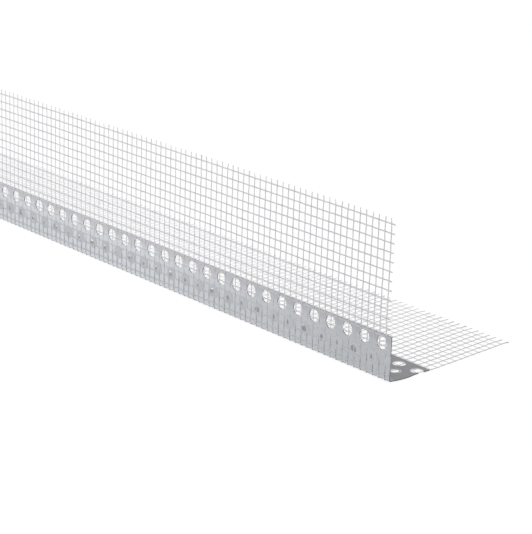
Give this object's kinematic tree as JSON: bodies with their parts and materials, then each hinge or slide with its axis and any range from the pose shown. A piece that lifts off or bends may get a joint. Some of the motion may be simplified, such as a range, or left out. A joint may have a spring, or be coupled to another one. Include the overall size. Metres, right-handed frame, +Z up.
{
  "type": "mesh corner bead",
  "caption": "Perforated aluminium angle with a strip of glass-fibre mesh glued round its outside that runs on as two wings, for edging plaster or render.",
  "frame": {"origin": "the metal's outer corner at the near end of the bead", "axes": "+X out of the near end along the bead, +Y along the flat leg and its wing, +Z up along the upright leg and its wing"},
  "size_m": [2.5011, 0.0999, 0.089],
  "materials": {
    "profile": "mill finish, dull",
    "mesh": "resin-coated glass fibre"
  },
  "bodies": {
    "root": {"corner_profile": "profile", "mesh_upright_strands": "mesh", "mesh_flat_strands": "mesh", "mesh_upright_net_near": "mesh", "mesh_upright_net_middle": "mesh", "mesh_upright_net_far": "mesh", "mesh_corner_net_near": "mesh", "mesh_corner_net_middle": "mesh", "mesh_corner_net_far": "mesh", "mesh_flat_net_near": "mesh", "mesh_flat_net_middle": "mesh", "mesh_flat_net_far": "mesh"}
  },
  "joints": []
}
